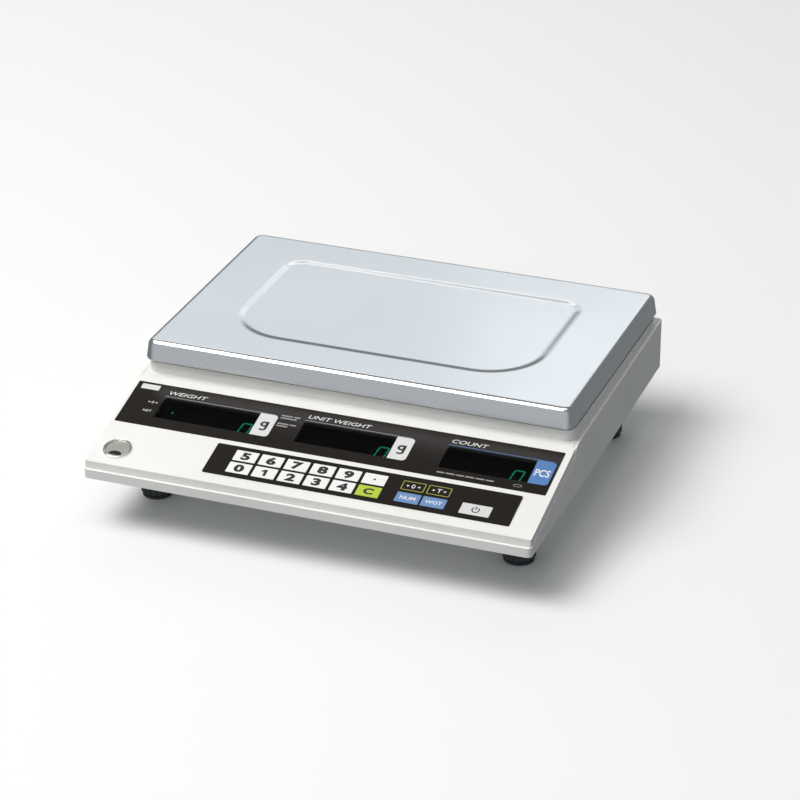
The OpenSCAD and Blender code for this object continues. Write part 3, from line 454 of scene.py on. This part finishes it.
def revolve(profile, steps=48):
    """Mesh of revolution about Z from (radius, height) points, closed where the radius is nil."""
    shape = bmesh.new()
    rings = []
    for radius, height in profile:
        if radius < 1e-9:
            rings.append([shape.verts.new((0, 0, height))])
            continue
        ring = []
        for i in range(steps):
            a = 2 * math.pi * i / steps
            ring.append(shape.verts.new((radius * math.cos(a), radius * math.sin(a), height)))
        rings.append(ring)
    for a, b in zip(rings, rings[1:]):
        for i in range(steps):
            j = (i + 1) % steps
            if len(a) == 1:
                shape.faces.new((a[0], b[j], b[i]))
            elif len(b) == 1:
                shape.faces.new((a[i], a[j], b[0]))
            else:
                shape.faces.new((a[i], a[j], b[j], b[i]))
    bmesh.ops.recalc_face_normals(shape, faces=shape.faces)
    mesh = bpy.data.meshes.new("turned")
    shape.to_mesh(mesh)
    shape.free()
    return mesh


# ---------------------------------------------------------------- platter


# The platter's sheet and its recess, which is wider than deep and has larger front corners
SHEET = 1.2 * MM
SKIRT_FLARE = 1.5 * MM
BEND_RADIUS = 5 * MM
PLATTER_CORNER = 9 * MM
RECESS_HALF_WIDTH = 122 * MM
RECESS_TO_FRONT, RECESS_TO_REAR = 70 * MM, 69 * MM
RECESS_CORNERS = (44 * MM, 14 * MM)
RECESS_DEPTH = 1.2 * MM
RECESS_SLOPE = 9 * MM
CORNER_STEPS = 10


def make_platter(materials):
    """Pressed sheet: hem, flared skirt, round top bend and a shallow recess with soft slopes."""
    low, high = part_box("platter")

    def loop(inset, height):
        radius = max(PLATTER_CORNER - inset, 0.4 * MM)
        points = rounded_loop(
            (low.x + inset, low.y + inset), (high.x - inset, high.y - inset), (radius, radius),
            CORNER_STEPS,
        )
        return [(x, y, height) for x, y in points]

    hem = ((3.6, 0.5), (1.4, 0.0), (0.5, 0.3), (0.0, 1.3))
    loops = [loop(inset * MM, low.z + rise * MM) for inset, rise in hem]
    loops.append(loop(SKIRT_FLARE - 0.2 * MM, high.z - BEND_RADIUS - 1.0 * MM))
    bend_steps = 8
    for i in range(bend_steps + 1):
        a = math.radians(90 * i / bend_steps)
        inset = SKIRT_FLARE + BEND_RADIUS * (1 - math.cos(a))
        loops.append(loop(inset, high.z - BEND_RADIUS + BEND_RADIUS * math.sin(a)))
    loops.append(loop(SKIRT_FLARE + BEND_RADIUS + 2 * MM, high.z))

    centre_y = (low.y + high.y) / 2
    side = RECESS_HALF_WIDTH
    front, rear = centre_y - RECESS_TO_FRONT, centre_y + RECESS_TO_REAR

    def recess(grow, height):
        points = rounded_loop(
            (-side - grow, front - grow),
            (side + grow, rear + grow),
            (RECESS_CORNERS[0] + grow, RECESS_CORNERS[1] + grow),
            CORNER_STEPS,
        )
        return [(x, y, height) for x, y in points]

    loops.append(recess(RECESS_SLOPE / 2 + 2 * MM, high.z))
    slope_steps = 10
    for i in range(slope_steps + 1):
        t = i / slope_steps
        drop = RECESS_DEPTH * (1 - math.cos(math.pi * t)) / 2
        loops.append(recess(RECESS_SLOPE * (0.5 - t), high.z - drop))
    loops.append(recess(-RECESS_SLOPE / 2 - 3 * MM, high.z - RECESS_DEPTH))
    mesh = loft(loops, close_end=True)
    pan = piece("platter_pan", mesh, materials["stainless"], "platter", 50)
    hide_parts("platter")
    skin = pan.modifiers.new("sheet", "SOLIDIFY")
    skin.thickness = SHEET
    skin.offset = -1
    normals = pan.modifiers.new("normals", "WEIGHTED_NORMAL")
    normals.keep_sharp = False
    return pan


# ---------------------------------------------------------------- panel graphics

INK = 0.03 * MM
SEGMENT_THICK = 0.12 * MM
SEGMENT_EDGE = 0.05 * MM


class Panel:
    """Places flat pieces on the control panel in its own axes, in metres."""

    def __init__(self, materials):
        self.materials = materials
        self.inks = {}
        for name, (color, slot) in INKS.items():
            self.inks[name] = (printed(name, color, 0.45), slot)

    def put(self, name, mesh, made, slot, body="housing", smooth=35):
        mesh.transform(PANEL)
        return piece(name, mesh, made, body, smooth)

    def ink(self, name, mesh, ink, body="housing"):
        made, slot = self.inks[ink]
        return self.put(name, mesh, made, slot, body)

    def box(self, name, low, high, base, ink, radius=0.0, thick=INK, body="housing"):
        """Rectangle of ink with round corners, from base upwards."""
        radius = max(radius, 0.02 * MM)
        outline = rounded_loop(low, high, (radius, radius), 5)
        return self.ink(name, flat_plate(outline, base, base + thick), ink, body)

    def frame(self, name, low, high, line, base, ink, radius, body="housing"):
        outer = rounded_loop(low, high, (radius, radius), 5)
        inner = rounded_loop(
            (low[0] + line, low[1] + line),
            (high[0] - line, high[1] - line),
            (max(radius - line, 0.05 * MM),) * 2,
            5,
        )
        return self.ink(name, ring_plate(outer, inner, base, base + INK), ink, body)

    def polygon(self, name, points, base, ink, body="housing"):
        return self.ink(name, flat_plate(points, base, base + INK), ink, body)

    def text(self, name, words, centre, height, ink, base, body="housing", **style):
        """Lettering with its capital height given, centred or starting at a place."""
        curve = bpy.data.curves.new(name, "FONT")
        curve.body = words
        curve.size = 1.0
        curve.resolution_u = 4
        curve.offset = style.get("weight", 0.0)
        curve.shear = style.get("slant", 0.0)
        holder = bpy.data.objects.new(name + "_line", curve)
        bpy.context.scene.collection.objects.link(holder)
        bpy.context.view_layer.update()
        graph = bpy.context.evaluated_depsgraph_get()
        mesh = bpy.data.meshes.new_from_object(holder.evaluated_get(graph))
        bpy.data.objects.remove(holder)
        self.thicken(mesh)
        xs = [v.co.x for v in mesh.vertices]
        ys = [v.co.y for v in mesh.vertices]
        capital = style.get("capital", max(ys) - min(ys))
        scale = height / capital
        wide = scale * style.get("stretch", 1.0)
        if "width" in style:
            wide = style["width"] / (max(xs) - min(xs))
        left = min(xs) if style.get("align") == "left" else (min(xs) + max(xs)) / 2
        centre_y = (max(ys) + min(ys)) / 2
        for v in mesh.vertices:
            v.co.x = centre[0] + (v.co.x - left) * wide
            v.co.y = centre[1] + (v.co.y - centre_y) * scale
            v.co.z = base + v.co.z
        return self.ink(name, mesh, ink, body)

    @staticmethod
    def thicken(mesh):
        """Gives flat lettering the thickness of the ink."""
        shape = bmesh.new()
        shape.from_mesh(mesh)
        bmesh.ops.remove_doubles(shape, verts=shape.verts, dist=1e-5)
        for v in shape.verts:
            v.co.z = 0
        top = bmesh.ops.extrude_face_region(shape, geom=shape.faces[:])
        for item in top["geom"]:
            if isinstance(item, bmesh.types.BMVert):
                item.co.z = INK
        bmesh.ops.recalc_face_normals(shape, faces=shape.faces)
        shape.to_mesh(mesh)
        shape.free()


def segment_outlines(width, height, stroke):
    """The seven bars of a numeral, as outlines about its centre, named a to g."""
    w, h, s = width / 2, height / 2, stroke / 2
    gap = 0.12 * stroke

    def across(y):
        a, b = -w + s + gap, w - s - gap
        return [(a, y), (a + s, y - s), (b - s, y - s), (b, y), (b - s, y + s), (a + s, y + s)]

    def upright(x, low, high):
        a, b = low + gap, high - gap
        return [(x, a), (x + s, a + s), (x + s, b - s), (x, b), (x - s, b - s), (x - s, a + s)]

    return {
        "a": across(h - s),
        "b": upright(w - s, 0, h - s),
        "c": upright(w - s, -h + s, 0),
        "d": across(-h + s),
        "e": upright(-w + s, -h + s, 0),
        "f": upright(-w + s, 0, h - s),
        "g": across(0),
    }


NUMERAL_SIZE = (8.6 * MM, 15.5 * MM)
NUMERAL_STROKE = 1.15 * MM
NUMERAL_SLANT = 0.12
NUMERAL_RISE = 3.4 * MM


def make_numerals(panel, window, count, margin=4 * MM):
    """A row of numerals on a display block, with a lit zero at the right end."""
    low, high = panel_box("display_" + window)
    pitch = (high.x - low.x - 8 * MM) / count
    centre_v = (low.y + high.y) / 2 + NUMERAL_RISE
    lit, unlit = panel.materials["segment_lit"], panel.materials["segment_unlit"]
    shape = segment_outlines(*NUMERAL_SIZE, NUMERAL_STROKE)
    for column in range(count):
        u = low.x + margin + pitch * (column + 0.5)
        last = column == count - 1
        for made, names, suffix in ((lit, "abcdef", "on"), (unlit, "g", "off")):
            if not last:
                names = "abcdefg" if suffix == "off" else ""
            if not names:
                continue
            joined = bmesh.new()
            for name in names:
                points = [(u + x + NUMERAL_SLANT * y, centre_v + y) for x, y in shape[name]]
                bar = flat_plate(points, high.z, high.z + SEGMENT_THICK, SEGMENT_EDGE)
                joined.from_mesh(bar)
                bpy.data.meshes.remove(bar)
            mesh = bpy.data.meshes.new("numeral")
            joined.to_mesh(mesh)
            joined.free()
            title = "numeral_%s_%d_%s" % (window, column + 1, suffix)
            panel.put(title, mesh, made, "display_black")


# Sizes of the graphics round a display window
WINDOW_FLANGE = 2 * MM
RULE_GAP, RULE_WIDTH = 1.6 * MM, 0.5 * MM
HEADING_HEIGHT, HEADING_RISE, HEADING_SLANT = 4.0 * MM, 4.7 * MM, 0.22
TAB_GAP, TAB_CORNER, TAB_THICK = 0.5 * MM, 3 * MM, 0.2 * MM
TAB_BELOW, TAB_ABOVE = 0.3 * MM, 1.3 * MM
UNIT_HEIGHT, UNIT_WIDTH = 7.8 * MM, 11.5 * MM


def make_window(panel, window, title, title_width, tab, tab_width, ink):
    """Heading, rule line and unit tab of one display window."""
    surface = panel_box("display_overlay")[1].z
    low, high = panel_box("window_" + window)
    left, right = low.x + WINDOW_FLANGE, high.x - WINDOW_FLANGE
    bottom, top = low.y + WINDOW_FLANGE, high.y - WINDOW_FLANGE
    line_v = top + RULE_GAP
    panel.text(
        "heading_" + window, title, (left + 1 * MM, line_v + HEADING_RISE), HEADING_HEIGHT,
        "ink_white", surface, width=title_width, align="left", slant=HEADING_SLANT,
    )
    tab_left, tab_right = right + TAB_GAP, right + TAB_GAP + tab_width
    tab_low, tab_high = bottom - TAB_BELOW, top + TAB_ABOVE
    corner_u = tab_right - TAB_CORNER
    outline = (
        [(tab_left, tab_low)]
        + arc((corner_u, tab_low + TAB_CORNER), TAB_CORNER, 270, 360, 6)
        + arc((corner_u, tab_high - TAB_CORNER), TAB_CORNER, 0, 90, 6)
        + [(tab_left, tab_high)]
    )
    tab_top = surface + TAB_THICK
    panel.ink("tab_" + window, flat_plate(outline, surface, tab_top, TAB_THICK / 2), ink)
    rule = "ink_blue" if ink == "ink_blue" else "ink_grey"
    rule_low = (left - RULE_WIDTH, line_v)
    panel.box("rule_" + window, rule_low, (corner_u, line_v + RULE_WIDTH), surface, rule)
    tab_middle = ((tab_left + tab_right) / 2, (top + bottom) / 2)
    if tab == "g":
        make_gram_letter(panel, "unit_" + window, tab_middle, tab_top)
    else:
        panel.text(
            "unit_" + window, tab, tab_middle, UNIT_HEIGHT, "ink_white", tab_top,
            weight=0.02, width=UNIT_WIDTH,
        )


def make_gram_letter(panel, name, at, base):
    """Lower case g from a ring, a straight stem and a hook."""
    u, v = at[0], at[1] + 1.3 * MM
    wide, tall, stroke = 3.2 * MM, 3.0 * MM, 2.0 * MM
    turn = [math.radians(10 * i) for i in range(36)]
    outer = [(u + wide * math.cos(a), v + tall * math.sin(a)) for a in turn]
    inner = [
        (u + (wide - stroke) * math.cos(a), v + (tall - stroke * 0.9) * math.sin(a)) for a in turn
    ]
    panel.ink(name + "_bowl", ring_plate(outer, inner, base, base + INK), "ink_black")
    right = u + wide + 0.1 * MM
    low = v - tall - 1.6 * MM
    panel.box(name + "_stem", (right - stroke, low), (right, v + tall), base, "ink_black")
    hook = [math.radians(-8 * i) for i in range(20)]
    middle_u = u + 0.1 * MM
    outside = [(middle_u + wide * math.cos(a), low + 2.7 * MM * math.sin(a)) for a in hook]
    inside = [
        (middle_u + (wide - stroke) * math.cos(a), low + (2.7 * MM - stroke * 0.85) * math.sin(a))
        for a in hook
    ]
    panel.ink(name + "_hook", strip_plate(outside + inside[::-1], base), "ink_black")


def make_display_graphics(panel):
    make_window(panel, "weight", "WEIGHT", 31 * MM, "g", 14.5 * MM, "ink_pale")
    make_window(panel, "unit", "UNIT WEIGHT", 50 * MM, "g", 14.3 * MM, "ink_pale")
    make_window(panel, "count", "COUNT", 28 * MM, "PCS", 15 * MM, "ink_blue")
    make_small_print(panel)
    make_numerals(panel, "weight", 6)
    make_zero_lamp(panel)
    make_numerals(panel, "unit", 6)
    make_numerals(panel, "count", 5, 1.5 * MM)


def make_zero_lamp(panel):
    """Small lit dot at the upper left of the weight display."""
    low, high = panel_box("display_weight")
    u, v = low.x + 4.2 * MM, high.y - 2.7 * MM
    lamp = [(u + x, v + y) for x, y in arc((0, 0), 0.9 * MM, 0, 345, 23)]
    mesh = flat_plate(lamp, high.z, high.z + SEGMENT_THICK, SEGMENT_EDGE)
    panel.put("zero_lamp", mesh, panel.materials["segment_lit"], "display_black")


def small_words(panel, name, u, v, surface, widths, height=1.3 * MM):
    """A line of small print shown as a row of short bars, one to a word."""
    gap = 1.0 * MM
    for index, width in enumerate(widths):
        panel.box(
            "%s_%d" % (name, index + 1), (u, v - height / 2), (u + width * MM, v + height / 2),
            surface, "ink_grey", 0.3 * MM,
        )
        u += width * MM + gap


def make_small_print(panel):
    """Zero and net signs, a blank pale tag, and bars in place of captions and ratings."""
    surface = panel_box("display_overlay")[1].z
    low, high = panel_box("window_weight")
    left = low.x - 1.0 * MM
    centre_v = (low.y + high.y) / 2
    panel.text(
        "mark_net", "NET", (left - 4.6 * MM, centre_v - 5.5 * MM), 2.2 * MM, "ink_white", surface,
        stretch=1.2,
    )
    panel.text(
        "mark_zero", "0", (left - 4.2 * MM, centre_v + 4.5 * MM), 2.6 * MM, "ink_white", surface,
        stretch=1.2,
    )
    for side in (-1, 1):
        tip = left - 4.2 * MM + side * 1.9 * MM
        tail = tip + side * 1.8 * MM
        v = centre_v + 4.5 * MM
        points = [(tip, v), (tail, v + side * 0.8 * MM), (tail, v - side * 0.8 * MM)]
        name = "mark_zero_" + ("left" if side < 0 else "right")
        panel.polygon(name, points, surface, "ink_white")
    film_low, film_high = panel_box("display_overlay")
    panel.box(
        "rating_tag", (film_low.x + 4.0 * MM, film_high.y - 7.9 * MM),
        (film_low.x + 18.9 * MM, film_high.y - 2.3 * MM), surface, "ink_pale", 0.4 * MM,
    )
    low, high = panel_box("window_unit")
    for row, (v, widths) in enumerate((
        (centre_v + 14.3 * MM, (9, 5)), (centre_v + 11.6 * MM, (13,)),
        (centre_v + 5.2 * MM, (9, 5)), (centre_v + 2.6 * MM, (9,)),
    )):
        small_words(panel, "caption_%d" % (row + 1), low.x - 17.5 * MM, v, surface, widths)
    low, high = panel_box("window_count")
    v = low.y - 3.2 * MM
    small_words(panel, "rating", low.x + 3.0 * MM, v, surface, (6, 7, 6, 7, 7, 6))
    oval_u = high.x - 7.2 * MM
    turn = [math.radians(12 * i) for i in range(30)]
    outer = [(oval_u + 3.4 * MM * math.cos(a), v + 1.5 * MM * math.sin(a)) for a in turn]
    inner = [(oval_u + 2.9 * MM * math.cos(a), v + 1.1 * MM * math.sin(a)) for a in turn]
    panel.ink("rating_oval", ring_plate(outer, inner, surface, surface + INK), "ink_grey")


# Outline of the digit 1 about its centre, in millimetres
DIGIT_ONE = [
    (-0.7, -3.4), (1.6, -3.4), (1.6, 3.4), (-0.3, 3.4), (-2.8, 2.1), (-2.8, 0.3), (-0.7, 1.3)
]

KEY_LABELS = {
    "key_0": "0", "key_2": "2", "key_3": "3", "key_4": "4",
    "key_5": "5", "key_6": "6", "key_7": "7", "key_8": "8", "key_9": "9",
}


DIGIT_HEIGHT, CLEAR_HEIGHT, WORD_HEIGHT = 7.4 * MM, 6.6 * MM, 3.6 * MM
POINT_HALF = 0.9 * MM


def make_key_labels(panel):
    """Prints each key's sign on its cap, riding on that key."""
    for key in KEYS:
        low, high = panel_box(key)
        u, v, top = (low.x + high.x) / 2, (low.y + high.y) / 2, high.z
        label = "label_" + key[4:]
        if key == "key_1":
            outline = [(u + x * MM, v + y * MM) for x, y in DIGIT_ONE]
            panel.polygon(label, outline, top, "ink_black", key)
        elif key in KEY_LABELS:
            panel.text(
                label, KEY_LABELS[key], (u, v), DIGIT_HEIGHT, "ink_black", top, key,
                weight=0.055, stretch=1.4, capital=0.73,
            )
        elif key == "key_clear":
            panel.text(
                label, "C", (u, v), CLEAR_HEIGHT, "ink_black", top, key, weight=0.045, stretch=1.3
            )
        elif key == "key_point":
            panel.box(
                label, (u - POINT_HALF, v - POINT_HALF), (u + POINT_HALF, v + POINT_HALF), top,
                "ink_black", 0.85 * MM, body=key,
            )
        elif key in ("key_zero", "key_tare"):
            make_arrow_key(panel, label, "0" if key == "key_zero" else "T", low, high, top, key)
        elif key in ("key_number", "key_weight"):
            word = "NUM" if key == "key_number" else "WGT"
            panel.text(
                label, word, (u, v), WORD_HEIGHT, "ink_white", top, key, weight=0.015, stretch=1.1
            )
        elif key == "key_power":
            make_power_symbol(panel, label, u, v, top, key)


def make_arrow_key(panel, label, letter, low, high, top, key):
    """Dark key with a lime outline and a letter between two arrowheads."""
    inset = 0.3 * MM
    panel.frame(
        label + "_outline", (low.x + inset, low.y + inset), (high.x - inset, high.y - inset),
        0.65 * MM, top, "ink_lime", 0.9 * MM, key,
    )
    u, v = (low.x + high.x) / 2, (low.y + high.y) / 2
    panel.text(label, letter, (u, v), 4.2 * MM, "ink_white", top, key, weight=0.005)
    for side in (-1, 1):
        tip = u + side * 3.0 * MM
        tail = u + side * 5.0 * MM
        points = [(tip, v), (tail, v + side * 1.0 * MM), (tail, v - side * 1.0 * MM)]
        panel.polygon(label + ("_left" if side < 0 else "_right"), points, top, "ink_white", key)


def make_power_symbol(panel, label, u, v, top, key):
    """Open ring with an upright bar."""
    outer, inner = 3.1 * MM, 2.2 * MM
    start, end = 125, 415
    points = arc((u, v), outer, start, end, 28) + list(reversed(arc((u, v), inner, start, end, 28)))
    panel.ink(label + "_ring", strip_plate(points, top), "ink_black", key)
    panel.box(
        label + "_bar", (u - 0.45 * MM, v + 0.3 * MM), (u + 0.45 * MM, v + 3.7 * MM), top,
        "ink_black", body=key,
    )


def strip_plate(points, base):
    """Thin closed plate over a curved strip given as its outer then its inner edge."""
    half = len(points) // 2
    shape = bmesh.new()
    low = [shape.verts.new((x, y, base)) for x, y in points]
    high = [shape.verts.new((x, y, base + INK)) for x, y in points]
    last = len(points) - 1
    for i in range(half - 1):
        shape.faces.new((high[i], high[i + 1], high[last - i - 1], high[last - i]))
        shape.faces.new((low[i + 1], low[i], low[last - i], low[last - i - 1]))
    for i in range(len(points)):
        j = (i + 1) % len(points)
        shape.faces.new((low[i], low[j], high[j], high[i]))
    bmesh.ops.recalc_face_normals(shape, faces=shape.faces)
    mesh = bpy.data.meshes.new("strip")
    shape.to_mesh(mesh)
    shape.free()
    return mesh


# ---------------------------------------------------------------- bubble level


def make_level(panel):
    """Bright thin ring round a full clear dome, with a pale base below it."""
    low, high = panel_box("level_ring")
    centre = middle(low, high)
    place = Matrix.Translation((centre.x, centre.y, 0))
    radius = (high.x - low.x) / 2
    crest = high.z
    bore = radius - 1.5 * MM
    floor = crest - 3.0 * MM
    make_level_bezel(panel, place, radius, low.z, crest, bore, floor)
    make_level_base(panel, place, floor, bore)
    make_level_dome(panel, place, crest, bore, floor)


def make_level_bezel(panel, place, radius, bottom, crest, bore, floor):
    """Turned ring with a rounded bead, standing on the panel, and its shank below."""
    surface = panel_box("display_overlay")[0].z
    bead_radius = 0.75 * MM
    turn = [math.radians(a) for a in range(15, 180, 15)]
    bead = [
        (radius - bead_radius + bead_radius * math.cos(a),
         crest - bead_radius + bead_radius * math.sin(a))
        for a in turn
    ]
    outside = [(radius, surface), (radius, crest - 0.9 * MM)]
    inside = [(bore, crest - 1.0 * MM), (bore, floor), (bore - 0.6 * MM, floor), (0, floor)]
    shank = radius - 2.2 * MM
    under = [(0, bottom), (shank, bottom), (shank, surface)]
    ring = revolve(under + outside + bead + inside)
    ring.transform(place)
    made = panel.materials["level_frame"]
    frame_piece = panel.put("level_bezel", ring, made, "level_frame", smooth=50)
    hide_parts("level_ring")


def make_level_dome(panel, place, crest, bore, floor):
    """Clear vial filling the ring, with a low domed top."""
    side = bore - 0.1 * MM
    under = floor + 0.1 * MM
    shoulder = crest - 1.2 * MM
    rise = panel_box("level_vial")[1].z - shoulder
    dome = [(0, under), (side, under), (side, shoulder)]
    for i in range(1, 9):
        a = math.radians(10 * i)
        dome.append((side * math.cos(a), shoulder + rise * math.sin(a)))
    dome.append((0, shoulder + rise))
    mesh = revolve(dome)
    mesh.transform(place)
    vial = panel.put("level_dome", mesh, panel.materials["level_fluid"], "level_fluid")
    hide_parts("level_vial")


def make_level_base(panel, place, floor, bore):
    """Pale disc below the dome, with a dark half-moon towards the front that is a painted shadow of the bubble."""
    top = floor + 0.2 * MM
    disc = revolve([(0, floor), (bore - 0.7 * MM, floor), (bore - 0.9 * MM, top), (0, top)])
    disc.transform(place)
    made, slot = panel.inks["ink_pale"]
    panel.put("level_base", disc, made, slot)
    made, slot = panel.inks["ink_black"]
    # The black half-moon is painted shade: the shadow the bubble casts on the pale base, printed in black ink.
    wide, tall, shallow, forward = 5.2 * MM, 3.4 * MM, 0.9 * MM, 5.4 * MM
    upper = arc((0, 0), 1.0, 10, 170, 16)
    lower = arc((0, 0), 1.0, 190, 350, 16)
    outline = [(wide * x, tall * y - forward) for x, y in upper]
    outline += [(wide * x, shallow * y - forward) for x, y in lower]
    bubble_shadow = flat_plate(outline, top, top + INK)
    bubble_shadow.transform(place)
    panel.put("level_mark", bubble_shadow, made, slot)


# ---------------------------------------------------------------- carried-over CAD nodes

# Edge radius by node, in millimetres; keys, wheels and pads have their own below
EDGE = {
    "base_housing": 0.7, "top_cover": 0.7, "battery_cover": 0.5, "chassis_plate": 0.4,
    "load_cell": 0.4, "cell_spacer": 0.2, "platter_support": 0.8, "support_cushions": 0.8,
    "battery": 1.2, "dc_jack": 0.3, "main_board": 0.15,
    "display_overlay": 0.08, "keypad_overlay": 0.1, "tact_switches": 0.3,
    "window_weight": 0.15, "window_unit": 0.15, "window_count": 0.15,
}


def dress_nodes(materials):
    """Gives every carried-over CAD node its material and real rounded edges."""
    slots = {s["node"]: s["material_slot"] for s in frame["record"]["subparts"]}
    for name, node in NODES.items():
        made = materials[slots[name]]
        node.data.materials.clear()
        node.data.materials.append(made)
        if node.hide_render:
            continue
        if name.startswith("key_"):
            round_edges(node, 0.12 * MM, 2)
        elif name.startswith("foot_wheel"):
            round_edges(node, 0.4 * MM, 2)
        elif name.startswith("foot_pad"):
            round_edges(node, 0.6 * MM, 3)
        elif name in EDGE:
            round_edges(node, EDGE[name] * MM)
        else:
            round_edges(node, 0.15 * MM, 2)


def main():
    make_camera()
    make_light()
    make_floor()
    materials = make_materials()
    materials["segment_lit"] = lit_segment()
    materials["segment_unlit"] = moulded("segment_unlit", (0.016, 0.017, 0.016), 0.5)
    make_platter(materials)
    panel = Panel(materials)
    make_level(panel)
    make_display_graphics(panel)
    make_key_labels(panel)
    dress_nodes(materials)


main()
